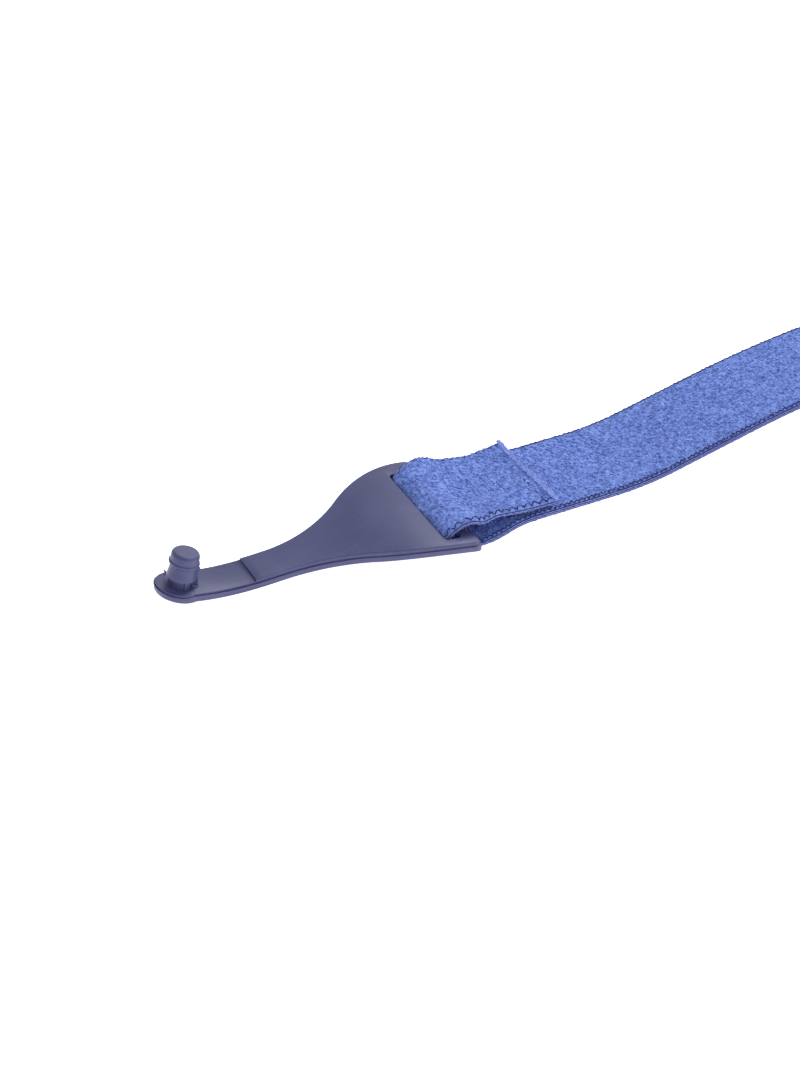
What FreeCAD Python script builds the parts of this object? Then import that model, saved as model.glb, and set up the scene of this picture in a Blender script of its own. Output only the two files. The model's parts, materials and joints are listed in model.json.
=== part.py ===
import FreeCAD, Part
import math
import os
import Sketcher

# Detachable head strap for sports protective goggles, in millimetres.
# Two moulded clips with a button each, joined by one elastic loop-pile band.
# The band passes under each clip's end bar, up through its slot and back over
# the bar, and its tail is held down by a hook patch sewn under it.
#
# Frame: origin on the floor under the middle of the strap, +X along the strap,
# +Y across it, +Z up.  The right end is the left end turned half round about Z.
# A clip's own frame has its origin on the floor under the button.

doc = FreeCAD.newDocument("head_strap")

SIZES = {
    # whole strap
    "pegSpan": 300.0,        # from button to button along X
    "bandWidth": 20.0,
    "bandThick": 1.5,
    "bandHalf": 0.75,        # half the thickness
    "loopHalf": 0.5,         # round the bar the band is drawn thin
    "tailHalf": 0.55,
    "floorGap": 0.05,        # under the band where it leaves the bar
    "clearance": 0.4,        # between pieces that move apart
    "hingeGap": 1.2,         # between band segments that fold against each other
    # clip, in plan
    "padRadius": 3.85,
    "armHalf": 3.5,
    "stepAt": 12.9,          # where the arm steps up to the thicker paddle
    "flareStart": 17.6,
    "flareEnd": 49.6,
    "paddleHalf": 13.8,
    "clipEnd": 51.0,
    "cornerRadius": 1.2,
    "slotStart": 45.1,
    "slotEnd": 48.2,
    "slotFar": 10.2,         # the slot is moulded a little off the middle
    "slotNear": 11.6,
    "slotCorner": 0.7,
    "ledge": 0.3,            # how far the lower half stands out below the parting line
    # clip, in side view
    "lowerThick": 0.95,
    "armUpper": 0.4,
    "paddleUpper": 0.8,
    "tipSlope": 13.8,        # degrees at the button, the tip curls up
    "paddleSlope": 12.0,     # degrees, the most that the paddle climbs
    "paddleBend": 34.6,      # where it starts to turn down again
    "endRadius": 36.2,
    "edgeRound": 0.25,
    # button
    "stemRadius": 2.1,
    "stemTop": 1.6,
    "collarRadius": 2.62,
    "neckRadius": 2.3,
    "neckTop": 3.9,
    "rimRadius": 2.7,
    "rimLow": 4.3,
    "rimHigh": 4.6,
    "headRadius": 2.48,
    "headLow": 4.8,
    "headHigh": 5.9,
    "crownRadius": 2.0,
    "crownTop": 6.45,
    "crownArc": 0.7,
    "buttonRoot": 0.6,       # how deep the stem runs into the arm
    "finHalf": 0.22,
    # band path
    "barCentre": 49.8,      # bar axis from the button, along X
    "loopRadius": 2.5,      # middle of the band round the bar
    "loopFoot": 2.2,         # how far the loop runs on under the bar
    "shoulderRadius": 6.0,   # where the loop comes down on to the band
    "shoulderRun": 0.3,
    "tailHeight": 4.15,      # middle of the tail above the floor
    "tailJoin": 10.8,        # from the bar axis to the tail's sliding part
    "tailEnd": 17.9,         # from the bar axis to the cut edge
    "patchStart": 11.2,
    "patchEnd": 18.5,
    "patchHalf": 9.3,
    "patchThick": 0.4,
    "stitchInset": 1.9,
    "stitchPitch": 2.0,
    "stitchCount": 9,
    "threadThick": 0.3,
    "stitchLong": 0.55,
    "stitchWide": 0.3,
    "liftRadius": 20.0,      # the band eases up from under the bar
    "liftHeight": 1.4,
    "riseStart": 69.6,       # from the middle of the strap, where the band leaves the floor
    "riseSlope": 12.85,       # degrees
    "riseRadius": 55.0,
    "crestHalf": 42.4,       # half the length of the arch over the crest
    "stretchAt": 15.6,       # where the two middle nodes draw apart
    "loopWidth": 19.6,       # the band is drawn in a little by the slot
    "waste": 80.0,           # trim frame round the clip
}


def deg(angle):
    return math.radians(angle)


def derive(p):
    # sizes that follow from the driving ones
    climb = deg(p["paddleSlope"])
    p["paddleRadius"] = (p["paddleBend"] - p["stepAt"]) / math.sin(climb)
    p["bendHeight"] = p["paddleRadius"] * (1 - math.cos(climb))
    crownX = p["paddleBend"] + p["endRadius"] * math.sin(climb)
    p["endCentreX"] = crownX
    p["endCentreZ"] = p["bendHeight"] - p["endRadius"] * math.cos(climb)
    p["barHeight"] = (p["endCentreZ"] + (p["lowerThick"] + p["paddleUpper"]) / 2
                      + math.sqrt(p["endRadius"] ** 2 - (p["barCentre"] - crownX) ** 2))
    p["armTop"] = p["lowerThick"] + p["armUpper"]
    p["paddleTop"] = p["lowerThick"] + p["paddleUpper"]
    p["armRadius"] = p["stepAt"] / math.sin(deg(p["tipSlope"]))
    p["padJoin"] = math.sqrt(p["padRadius"] ** 2 - p["armHalf"] ** 2)
    p["padJoinLow"] = math.sqrt((p["padRadius"] + p["ledge"]) ** 2 - (p["armHalf"] + p["ledge"]) ** 2)
    p["patchHalfThick"] = p["patchThick"] / 2
    p["threadHalf"] = p["threadThick"] / 2
    p["seamHalf"] = p["stitchPitch"] * (p["stitchCount"] - 1) / 2
    rise = p["paddleHalf"] - p["armHalf"]
    run = p["flareEnd"] - p["flareStart"]
    p["flareRadius"] = (run ** 2 + rise ** 2) / 4 / rise
    p["flareMiddle"] = (p["flareStart"] + p["flareEnd"]) / 2
    p["flareHalf"] = (p["armHalf"] + p["paddleHalf"]) / 2
    p["barX"] = p["barCentre"] - p["pegSpan"] / 2
    p["footHeight"] = p["floorGap"] + p["bandHalf"]
    p["runHeight"] = p["footHeight"] + p["liftHeight"]
    p["shoulderAngle"] = math.degrees(math.acos(
        1 - (p["barHeight"] + p["loopRadius"] - p["tailHeight"])
        / (p["loopRadius"] + p["shoulderRadius"])))
    p["shoulderEnd"] = ((p["loopRadius"] + p["shoulderRadius"]) * math.sin(deg(p["shoulderAngle"]))
                        + p["shoulderRun"])
    tilt = deg(p["tipSlope"])
    p["buttonX"] = p["armTop"] * math.sin(tilt)
    p["buttonHeight"] = p["armRadius"] * (1 - math.cos(tilt)) + p["armTop"] * math.cos(tilt)
    p["crestRadius"] = p["crestHalf"] / math.sin(deg(p["riseSlope"]))
    p["riseEnd"] = p["riseStart"] - p["riseRadius"] * math.sin(deg(p["riseSlope"]))
    p["riseEndHeight"] = p["runHeight"] + p["riseRadius"] * (1 - math.cos(deg(p["riseSlope"])))
    p["crestStartHeight"] = (p["riseEndHeight"]
                             + (p["riseEnd"] - p["crestHalf"]) * math.tan(deg(p["riseSlope"])))
    p["crestHeight"] = p["crestStartHeight"] + p["crestRadius"] * (1 - math.cos(deg(p["riseSlope"])))


derive(SIZES)

# ---- driving sheet ----

sheet = doc.addObject("Spreadsheet::Sheet", "Sizes")
for row, (word, size) in enumerate(SIZES.items(), start=1):
    sheet.set("A%d" % row, word)
    sheet.set("B%d" % row, repr(round(size, 6)))
    sheet.setAlias("B%d" % row, word)
doc.recompute()


def amount(text):
    """Value of a sum of sheet words, such as 'armHalf + ledge'."""
    total, sign = 0.0, 1
    for word in text.split():
        if word in ("+", "-"):
            sign = 1 if word == "+" else -1
        elif word != "0":
            total += sign * SIZES[word]
    return total


def formula(text):
    """The same sum as an expression on the sheet."""
    return " ".join(w if w in ("+", "-", "0") else "Sizes." + w for w in text.split())


# ---- sketch helpers ----

def planeOf(body, role):
    return next(f for f in body.Origin.OriginFeatures if f.Role == role)


def newSketch(body, name, role):
    sketch = body.newObject("Sketcher::SketchObject", name)
    sketch.AttachmentSupport = [(planeOf(body, role), "")]
    sketch.MapMode = "FlatFace"
    return sketch


def newBody(name, label=None):
    body = doc.addObject("PartDesign::Body", name)
    body.Label = label or name
    return body


def constrain(sketch, kind, *values, bind=None):
    index = sketch.addConstraint(Sketcher.Constraint(kind, *values))
    if bind:
        sketch.setExpression("Constraints[%d]" % index, bind)


def arcBetween(start, end, radius, turn):
    """Shorter arc from start to end; turn 1 runs to the left, -1 to the right."""
    chord = end - start
    rise = math.sqrt(max(radius ** 2 - chord.Length ** 2 / 4, 0.0))
    side = FreeCAD.Vector(-chord.y, chord.x, 0).normalize() * rise * turn
    centre = (start + end) * 0.5 + side
    first, last = (start, end) if turn > 0 else (end, start)
    angles = [math.atan2(p.y - centre.y, p.x - centre.x) for p in (first, last)]
    circle = Part.Circle(centre, FreeCAD.Vector(0, 0, 1), radius)
    return Part.ArcOfCircle(circle, angles[0], angles[1])


def closeLoop(sketch, corners):
    """Closed outline. A corner is (x, y, radius, turn), all but turn in sheet words;
    radius and turn shape the run to the next corner, or are None for a straight."""
    points = [FreeCAD.Vector(amount(x), amount(y), 0) for x, y, r, t in corners]
    ends = []
    for i, (x, y, radius, turn) in enumerate(corners):
        start, end = points[i], points[(i + 1) % len(points)]
        if radius is None:
            edge = sketch.addGeometry(Part.LineSegment(start, end))
        else:
            edge = sketch.addGeometry(arcBetween(start, end, amount(radius), turn))
            constrain(sketch, "Radius", edge, amount(radius), bind=formula(radius))
        ends.append((edge, 1, 2) if turn != -1 else (edge, 2, 1))
    for i, (x, y, radius, turn) in enumerate(corners):
        edge, first, last = ends[i]
        before, unused, beforeLast = ends[i - 1]
        constrain(sketch, "Coincident", before, beforeLast, edge, first)
        constrain(sketch, "DistanceX", -1, 1, edge, first, amount(x), bind=formula(x))
        constrain(sketch, "DistanceY", -1, 1, edge, first, amount(y), bind=formula(y))


def ribbon(sketch, start, heading, steps, low, high):
    """Closed side view of a sheet that follows a path. heading is in degrees. A step is
    (length, radius word or None, turn). low and high are offsets to the path's left."""
    x, z = start
    angle = math.radians(heading)
    lowSide, highSide = [], []

    def at(offset):
        return FreeCAD.Vector(x - offset * math.sin(angle), z + offset * math.cos(angle), 0)

    marks = [(at(amount(low)), at(amount(high)))]
    for length, radius, turn in steps:
        if radius is None:
            x, z = x + length * math.cos(angle), z + length * math.sin(angle)
        else:
            r = amount(radius)
            cx, cz = x - turn * r * math.sin(angle), z + turn * r * math.cos(angle)
            angle += turn * length / r
            x, z = cx + turn * r * math.sin(angle), cz - turn * r * math.cos(angle)
        marks.append((at(amount(low)), at(amount(high))))
        for side, offset, store in ((0, low, lowSide), (1, high, highSide)):
            a, b = marks[-2][side], marks[-1][side]
            if radius is None:
                store.append((sketch.addGeometry(Part.LineSegment(a, b)), 1, 2))
                continue
            sweep = length / amount(radius)
            r = amount(radius) - turn * amount(offset)
            first, last = (a, b) if turn > 0 else (b, a)
            begin = math.atan2(first.y - cz, first.x - cx)
            circle = Part.Circle(FreeCAD.Vector(cx, cz, 0), FreeCAD.Vector(0, 0, 1), r)
            edge = sketch.addGeometry(Part.ArcOfCircle(circle, begin, begin + sweep))
            sign = "-" if turn > 0 else "+"
            constrain(sketch, "Radius", edge, r,
                      bind="%s %s (%s)" % (formula(radius), sign, formula(offset)))
            store.append((edge, 1, 2) if turn > 0 else (edge, 2, 1))
    for a, b in zip(lowSide, lowSide[1:]):
        constrain(sketch, "Coincident", a[0], a[2], b[0], b[1])
    for a, b in zip(highSide, highSide[1:]):
        constrain(sketch, "Coincident", a[0], a[2], b[0], b[1])
    caps = ((marks[0], lowSide[0][:2], highSide[0][:2]),
            (marks[-1], (lowSide[-1][0], lowSide[-1][2]), (highSide[-1][0], highSide[-1][2])))
    for (a, b), onLow, onHigh in caps:
        cap = sketch.addGeometry(Part.LineSegment(a, b))
        constrain(sketch, "Coincident", cap, 1, *onLow)
        constrain(sketch, "Coincident", cap, 2, *onHigh)
        constrain(sketch, "Distance", cap, (b - a).Length,
                  bind="%s - (%s)" % (formula(high), formula(low)))
    return (x, z), math.degrees(angle)


def padAcross(body, sketch, name, width):
    """Pad a side view symmetrically across the strap."""
    pad = body.newObject("PartDesign::Pad", name)
    pad.Profile = sketch
    pad.SideType = "Symmetric"
    pad.setExpression("Length", width)
    body.Tip = pad
    doc.recompute()
    return pad


def cutThrough(body, sketch, name):
    """Pocket a plan view upwards through everything; it has to remove something."""
    before = body.Shape.Volume
    cut = body.newObject("PartDesign::Pocket", name)
    cut.Profile = sketch
    cut.Type = "ThroughAll"
    cut.Reversed = True
    body.Tip = cut
    doc.recompute()
    if body.Shape.Volume >= before:
        raise RuntimeError(name + " cuts nothing")
    return cut


HALF_TURN = FreeCAD.Placement(FreeCAD.Vector(), FreeCAD.Rotation(FreeCAD.Vector(0, 0, 1), 180))
SIDES = (("left", FreeCAD.Placement()), ("right", HALF_TURN))
nodes = {}


# ---- clip ----

def clipOutline(sketch, out):
    """Plan view of the clip, with a waste frame round it; out is how far it is grown."""
    def grown(word):
        return word + " + ledge" if out else word

    def sunk(word):
        return "- " + word + " - ledge" if out else "- " + word

    pad = grown("padRadius")
    join = "padJoinLow" if out else "padJoin"
    corner = "cornerRadius"
    end = grown("clipEnd")
    closeLoop(sketch, [
        (sunk("padRadius"), "0", pad, 1),
        (join, sunk("armHalf"), None, None),
        ("flareStart", sunk("armHalf"), "flareRadius", -1),
        ("flareMiddle", sunk("flareHalf"), "flareRadius", 1),
        ("flareEnd", sunk("paddleHalf"), None, None),
        (end + " - " + corner, sunk("paddleHalf"), corner, 1),
        (end, sunk("paddleHalf") + " + " + corner, None, None),
        (end, grown("paddleHalf") + " - " + corner, corner, 1),
        (end + " - " + corner, grown("paddleHalf"), None, None),
        ("flareEnd", grown("paddleHalf"), "flareRadius", 1),
        ("flareMiddle", grown("flareHalf"), "flareRadius", -1),
        ("flareStart", grown("armHalf"), None, None),
        (join, grown("armHalf"), pad, 1),
    ])
    closeLoop(sketch, [("- waste", "- waste", None, None), ("waste", "- waste", None, None),
                       ("waste", "waste", None, None), ("- waste", "waste", None, None)])


def slotOutline(sketch):
    closeLoop(sketch, [
        ("slotStart + slotCorner", "- slotNear", None, None),
        ("slotEnd - slotCorner", "- slotNear", "slotCorner", 1),
        ("slotEnd", "- slotNear + slotCorner", None, None),
        ("slotEnd", "slotFar - slotCorner", "slotCorner", 1),
        ("slotEnd - slotCorner", "slotFar", None, None),
        ("slotStart + slotCorner", "slotFar", "slotCorner", 1),
        ("slotStart", "slotFar - slotCorner", None, None),
        ("slotStart", "- slotNear + slotCorner", "slotCorner", 1),
    ])


def armRibbon(sketch, low, high):
    """Side view of the curled arm, from past the tip to the step."""
    sweep = math.degrees(math.asin((SIZES["stepAt"] + 6) / SIZES["armRadius"]))
    r = SIZES["armRadius"]
    start = (SIZES["stepAt"] - r * math.sin(deg(sweep)), r * (1 - math.cos(deg(sweep))))
    ribbon(sketch, start, -sweep, [(r * deg(sweep), "armRadius", 1)], low, high)


def paddleRibbon(sketch, low, high):
    """Side view of the paddle, from the step up and over to past its end."""
    climb = deg(SIZES["paddleSlope"]) * SIZES["paddleRadius"]
    rest = SIZES["clipEnd"] + 2 - SIZES["paddleBend"]
    ribbon(sketch, (SIZES["stepAt"], 0), 0,
           [(climb, "paddleRadius", 1), (rest, "endRadius", -1)], low, high)


def onPaddleTop(point):
    """Whether a point lies on the paddle's upper face."""
    r = SIZES["paddleRadius"]
    depth = r - math.hypot(point.x - SIZES["stepAt"], point.z - r)
    height = math.hypot(point.x - SIZES["endCentreX"], point.z - SIZES["endCentreZ"])
    return (abs(depth - SIZES["paddleTop"]) < 1e-4
            or abs(height - SIZES["endRadius"] - SIZES["paddleTop"]) < 1e-4)


def roundTop(body, name):
    """Round the edges of the paddle's upper face and of its slot, but not the step."""
    picked = []
    for i, edge in enumerate(body.Shape.Edges, start=1):
        first, last = edge.FirstParameter, edge.LastParameter
        spots = [edge.valueAt(t) for t in (first, (first + last) / 2, last)]
        step = all(abs(p.x - SIZES["stepAt"]) < 1e-4 for p in spots)
        if all(onPaddleTop(p) for p in spots) and not step:
            picked.append("Edge%d" % i)
    trimmed = body.Tip
    fillet = body.newObject("PartDesign::Fillet", name)
    fillet.Base = (trimmed, picked)
    fillet.setExpression("Radius", "Sizes.edgeRound")
    body.Tip = fillet
    doc.recompute()


def makeButton(body, side):
    """Keyhole button, turned about the normal of the curled tip."""
    sketch = newSketch(body, side + "_button_section", "XZ_Plane")
    sketch.AttachmentOffset = FreeCAD.Placement(
        FreeCAD.Vector(SIZES["buttonX"], SIZES["buttonHeight"], 0),
        FreeCAD.Rotation(FreeCAD.Vector(0, 0, 1), -SIZES["tipSlope"]))
    closeLoop(sketch, [
        ("0", "- buttonRoot", None, None),
        ("stemRadius", "- buttonRoot", None, None),
        ("stemRadius", "stemTop", None, None),
        ("collarRadius", "stemTop", None, None),
        ("neckRadius", "neckTop", None, None),
        ("rimRadius", "rimLow", None, None),
        ("rimRadius", "rimHigh", None, None),
        ("headRadius", "headLow", None, None),
        ("headRadius", "headHigh", "crownArc", 1),
        ("crownRadius", "crownTop", None, None),
        ("0", "crownTop", None, None),
    ])
    turned = body.newObject("PartDesign::Revolution", side + "_button")
    turned.Profile = sketch
    turned.ReferenceAxis = (sketch, ["V_Axis"])
    turned.Angle = 360
    body.Tip = turned
    doc.recompute()
    fin = newSketch(body, side + "_fin_section", "XZ_Plane")
    fin.AttachmentOffset = sketch.AttachmentOffset
    closeLoop(fin, [("- finHalf", "- buttonRoot", None, None), ("finHalf", "- buttonRoot", None, None),
                    ("finHalf", "stemTop", None, None), ("- finHalf", "stemTop", None, None)])
    padAcross(body, fin, side + "_fins", "2 * Sizes.neckRadius")


def makeClip(side, place):
    """One moulding. Its two halves meet at the parting line, and the lower stands out."""
    lower = newBody(side + "_clip_lower")
    sketch = newSketch(lower, side + "_lower_arm_side", "XZ_Plane")
    armRibbon(sketch, "0", "lowerThick")
    padAcross(lower, sketch, side + "_lower_arm", "2 * Sizes.paddleHalf + 4")
    sketch = newSketch(lower, side + "_lower_paddle_side", "XZ_Plane")
    paddleRibbon(sketch, "0", "lowerThick")
    padAcross(lower, sketch, side + "_lower_paddle", "2 * Sizes.paddleHalf + 4")

    upper = newBody(side + "_clip_upper")
    sketch = newSketch(upper, side + "_upper_arm_side", "XZ_Plane")
    armRibbon(sketch, "lowerThick", "armTop")
    padAcross(upper, sketch, side + "_upper_arm", "2 * Sizes.paddleHalf + 4")
    sketch = newSketch(upper, side + "_upper_paddle_side", "XZ_Plane")
    paddleRibbon(sketch, "lowerThick", "paddleTop")
    padAcross(upper, sketch, side + "_upper_paddle", "2 * Sizes.paddleHalf + 4")

    for body, out in ((lower, True), (upper, False)):
        plan = newSketch(body, body.Name + "_plan", "XY_Plane")
        clipOutline(plan, out)
        cutThrough(body, plan, body.Name + "_trim")
        slot = newSketch(body, body.Name + "_slot_plan", "XY_Plane")
        slotOutline(slot)
        cutThrough(body, slot, body.Name + "_slot")
    roundTop(upper, side + "_rounds")
    makeButton(upper, side)

    clip = doc.addObject("Part::Fuse", side + "_clip")
    clip.Base, clip.Tool = upper, lower
    clip.Refine = True
    shift = FreeCAD.Placement(FreeCAD.Vector(-SIZES["pegSpan"] / 2, 0, 0), FreeCAD.Rotation())
    clip.Placement = place.multiply(shift)
    nodes[side + "_clip"] = clip


# ---- band ----

def bandPiece(name, start, heading, steps, place, half="bandHalf", width="Sizes.bandWidth"):
    """One stretch of the band, or of the tape on it, as a solid."""
    body = newBody(name)
    sketch = newSketch(body, name + "_side", "XZ_Plane")
    ribbon(sketch, start, heading, steps, "- " + half, half)
    padAcross(body, sketch, name + "_pad", width)
    body.Placement = place
    nodes[name] = body


def makeLoop(side, place):
    """The band's bend: in under the bar, up through the slot and back over the bar."""
    turn = deg(180 + SIZES["shoulderAngle"]) * SIZES["loopRadius"]
    drop = deg(SIZES["shoulderAngle"]) * SIZES["shoulderRadius"]
    low = SIZES["barHeight"] - SIZES["loopRadius"]
    bandPiece(side + "_loop", (SIZES["barX"] + SIZES["loopFoot"], low), 180,
              [(SIZES["loopFoot"], None, 0), (turn, "loopRadius", -1),
               (drop, "shoulderRadius", 1), (SIZES["shoulderRun"], None, 0)],
              place, half="loopHalf", width="Sizes.loopWidth")


def makeRun(side, place):
    """Up from under the bar, along, then up the slope to the fold beside the crest."""
    begin = SIZES["barX"] + SIZES["loopFoot"] + SIZES["hingeGap"]
    slope = deg(SIZES["riseSlope"])
    lift = math.acos(1 - SIZES["liftHeight"] / 2 / SIZES["liftRadius"])
    lifted = begin + 2 * SIZES["liftRadius"] * math.sin(lift)
    bandPiece(side + "_run", (begin, SIZES["footHeight"]), 0,
              [(SIZES["liftRadius"] * lift, "liftRadius", 1),
               (SIZES["liftRadius"] * lift, "liftRadius", -1),
               (-SIZES["riseStart"] - lifted, None, 0),
               (SIZES["riseRadius"] * slope, "riseRadius", 1),
               ((SIZES["riseEnd"] - SIZES["crestHalf"]) / math.cos(slope), None, 0)], place)


def makeTail(side, place):
    """The free end above the band, in the part that bends up and the part that is sewn."""
    begin = SIZES["barX"] + SIZES["shoulderEnd"] + SIZES["clearance"]
    join = SIZES["barX"] + SIZES["tailJoin"]
    end = SIZES["barX"] + SIZES["tailEnd"]
    bandPiece(side + "_tail_root", (begin, SIZES["tailHeight"]), 0,
              [(join - SIZES["clearance"] - begin, None, 0)], place, half="tailHalf")
    bandPiece(side + "_tail_end", (join, SIZES["tailHeight"]), 0,
              [(end - join, None, 0)], place, half="tailHalf")


def makePatch(side, place):
    """Hook tape under the tail, a little longer than the tail above it."""
    start = SIZES["barX"] + SIZES["patchStart"]
    end = SIZES["barX"] + SIZES["patchEnd"]
    middle = SIZES["tailHeight"] - SIZES["tailHalf"] - SIZES["patchThick"] / 2
    bandPiece(side + "_hook_patch", (start, middle), 0, [(end - start, None, 0)], place,
              half="patchHalfThick", width="2 * Sizes.patchHalf")


def makeStitches(side, place):
    """The seam across the tail: a thread with a raised stitch at every pitch."""
    name = side + "_stitches"
    body = newBody(name)
    top = SIZES["tailHeight"] + SIZES["tailHalf"]
    thread = newSketch(body, name + "_thread_side", "XZ_Plane")
    seamX = SIZES["barX"] + SIZES["tailEnd"] - SIZES["stitchInset"]
    half = SIZES["threadThick"] / 2
    ribbon(thread, (seamX - half, top + half), 0, [(2 * half, None, 0)],
           "- threadHalf", "threadHalf")
    padAcross(body, thread, name + "_thread", "Sizes.seamHalf * 2 + 1")
    stitch = newSketch(body, name + "_stitch_plan", "XY_Plane")
    stitch.AttachmentOffset = FreeCAD.Placement(
        FreeCAD.Vector(seamX, -SIZES["seamHalf"], top), FreeCAD.Rotation())
    closeLoop(stitch, [
        ("- stitchLong", "- stitchWide", None, None), ("stitchLong", "- stitchWide", None, None),
        ("stitchLong", "stitchWide", None, None), ("- stitchLong", "stitchWide", None, None)])
    knot = body.newObject("PartDesign::Pad", name + "_stitch")
    knot.Profile = stitch
    knot.setExpression("Length", "1.6 * Sizes.threadThick")
    body.Tip = knot
    row = body.newObject("PartDesign::LinearPattern", name + "_row")
    row.Originals = [knot]
    row.Direction = (stitch, ["V_Axis"])
    row.setExpression("Length", "2 * Sizes.seamHalf")
    row.Occurrences = int(SIZES["stitchCount"])
    body.Tip = row
    body.Placement = place
    nodes[name] = body
    doc.recompute()


def makeMiddle():
    """The arch over the crest, in two nodes that draw apart as the elastic stretches."""
    slope = SIZES["riseSlope"]
    gap = SIZES["hingeGap"]
    r = SIZES["crestRadius"]

    def onCrest(x):
        angle = math.asin(x / r)
        return (x, SIZES["crestHeight"] - r * (1 - math.cos(angle))), -math.degrees(angle)

    def crest(name, fromX, toX):
        start, heading = onCrest(fromX)
        sweep = math.asin(toX / r) - math.asin(fromX / r)
        bandPiece(name, start, heading, [(sweep * r, "crestRadius", -1)], FreeCAD.Placement())

    edge = r * math.sin(deg(slope) - gap / r)
    crest("band_middle", -edge, SIZES["stretchAt"] - gap / 2)
    crest("band_stretch_end", SIZES["stretchAt"] + gap / 2, edge)


for side, place in SIDES:
    makeClip(side, place)
    makeLoop(side, place)
    makeRun(side, place)
    makeTail(side, place)
    makePatch(side, place)
    makeStitches(side, place)
makeMiddle()

# ---- check and export ----

doc.recompute()
for item in doc.Objects:
    if "Invalid" in item.State or "Error" in item.State:
        raise RuntimeError("failed: " + item.Label)
for name, item in nodes.items():
    if item.Shape.isNull() or not item.Shape.isValid() or len(item.Shape.Solids) != 1:
        raise RuntimeError("bad shape: " + name)

os.makedirs("parts", exist_ok=True)
for name, item in nodes.items():
    item.Shape.exportStep("parts/" + name + ".step")
    box = item.Shape.BoundBox
    print("%-18s %8.1f mm3  x %.1f..%.1f  z %.2f..%.2f"
          % (name, item.Shape.Volume, box.XMin, box.XMax, box.ZMin, box.ZMax))
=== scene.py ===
import json
import math

import bpy
import numpy as np
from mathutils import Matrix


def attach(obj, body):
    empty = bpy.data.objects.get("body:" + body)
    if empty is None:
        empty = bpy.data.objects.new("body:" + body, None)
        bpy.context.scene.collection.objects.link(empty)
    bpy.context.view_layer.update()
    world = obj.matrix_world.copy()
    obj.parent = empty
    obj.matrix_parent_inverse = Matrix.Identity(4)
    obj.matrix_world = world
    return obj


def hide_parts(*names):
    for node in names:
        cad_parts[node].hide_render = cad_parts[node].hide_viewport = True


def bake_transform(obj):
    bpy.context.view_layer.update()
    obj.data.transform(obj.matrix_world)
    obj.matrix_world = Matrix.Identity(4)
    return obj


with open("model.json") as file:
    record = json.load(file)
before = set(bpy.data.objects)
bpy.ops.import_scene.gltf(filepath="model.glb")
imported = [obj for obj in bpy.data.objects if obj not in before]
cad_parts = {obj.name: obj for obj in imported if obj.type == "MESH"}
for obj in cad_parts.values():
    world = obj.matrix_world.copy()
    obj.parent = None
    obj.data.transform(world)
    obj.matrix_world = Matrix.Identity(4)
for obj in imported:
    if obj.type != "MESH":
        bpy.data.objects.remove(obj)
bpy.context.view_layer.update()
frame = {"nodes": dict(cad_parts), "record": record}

# Head strap of sports goggles. The band is worked out once, as a line with a
# width and a thickness, and every fabric piece is a stretch of that line.
# Lengths below are millimetres; a point is scaled by mm when it becomes a mesh.
mm = 0.001
dice = np.random.default_rng(7)
bodiesOfSide = (("left", 1), ("right", -1))


# camera, floor and light

cameraPlan = {
    "place": (-275.5, -328.8, 269.8),
    "heading": 27.02,          # degrees clockwise from +Y
    "tilt": 36.21,             # degrees below the horizon
    "lens": 87.8,
}
studioPlan = {
    "skyStrength": 0.72,
    "floorTint": (1.0, 0.93, 0.97),
    "floorGlow": 1.0,
    "floorHalf": 1.5,
    "keyPlace": (0.42, 0.34, 0.66),
    "keySize": 0.55,
    "keyPower": 5.4,
    "fillPlace": (0.30, -0.60, 0.40),
    "fillSize": 0.7,
    "fillPower": 1.2,
}


def addNode(tree, kind, **values):
    node = tree.nodes.new(kind)
    for key, value in values.items():
        key = key.replace("_", " ")
        if key in node.inputs:
            node.inputs[key].default_value = value
    return node


def makeCamera():
    lens = bpy.data.cameras.new("camera")
    lens.sensor_width = 36
    lens.lens = cameraPlan["lens"]
    lens.clip_start, lens.clip_end = 0.01, 10
    camera = bpy.data.objects.new("camera", lens)
    camera.location = [v * mm for v in cameraPlan["place"]]
    camera.rotation_euler = (math.radians(90 - cameraPlan["tilt"]), 0,
                             math.radians(-cameraPlan["heading"]))
    bpy.context.scene.collection.objects.link(camera)
    bpy.context.scene.camera = camera


def makeSoftBox(name, place, size, power):
    lamp = bpy.data.lights.new(name, "AREA")
    lamp.shape, lamp.size, lamp.energy = "DISK", size, power
    box = bpy.data.objects.new(name, lamp)
    box.location = place
    aim = -box.location
    box.rotation_euler = aim.to_track_quat("-Z", "Y").to_euler()
    bpy.context.scene.collection.objects.link(box)


def makeStudio():
    scene = bpy.context.scene
    scene.view_settings.view_transform = "Standard"
    world = bpy.data.worlds.new("sky")
    scene.world = world
    world.use_nodes = True
    sky = world.node_tree.nodes["Background"]
    sky.inputs["Color"].default_value = (1, 1, 1, 1)
    sky.inputs["Strength"].default_value = studioPlan["skyStrength"]
    half = studioPlan["floorHalf"]
    mesh = bpy.data.meshes.new("floor")
    mesh.from_pydata([(-half, -half, 0), (half, -half, 0), (half, half, 0), (-half, half, 0)],
                     [], [(0, 1, 2, 3)])
    floor = bpy.data.objects.new("floor", mesh)
    scene.collection.objects.link(floor)
    paper = bpy.data.materials.new("floor_paper")
    paper.use_nodes = True
    shader = paper.node_tree.nodes["Principled BSDF"]
    shader.inputs["Base Color"].default_value = (0.9, 0.9, 0.9, 1)
    shader.inputs["Roughness"].default_value = 0.9
    shader.inputs["Emission Color"].default_value = (*studioPlan["floorTint"], 1)
    shader.inputs["Emission Strength"].default_value = studioPlan["floorGlow"]
    mesh.materials.append(paper)
    makeSoftBox("key", studioPlan["keyPlace"], studioPlan["keySize"], studioPlan["keyPower"])
    makeSoftBox("fill", studioPlan["fillPlace"], studioPlan["fillSize"], studioPlan["fillPower"])


makeCamera()
makeStudio()
print("camera, floor and lights ready")


# materials

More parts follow.
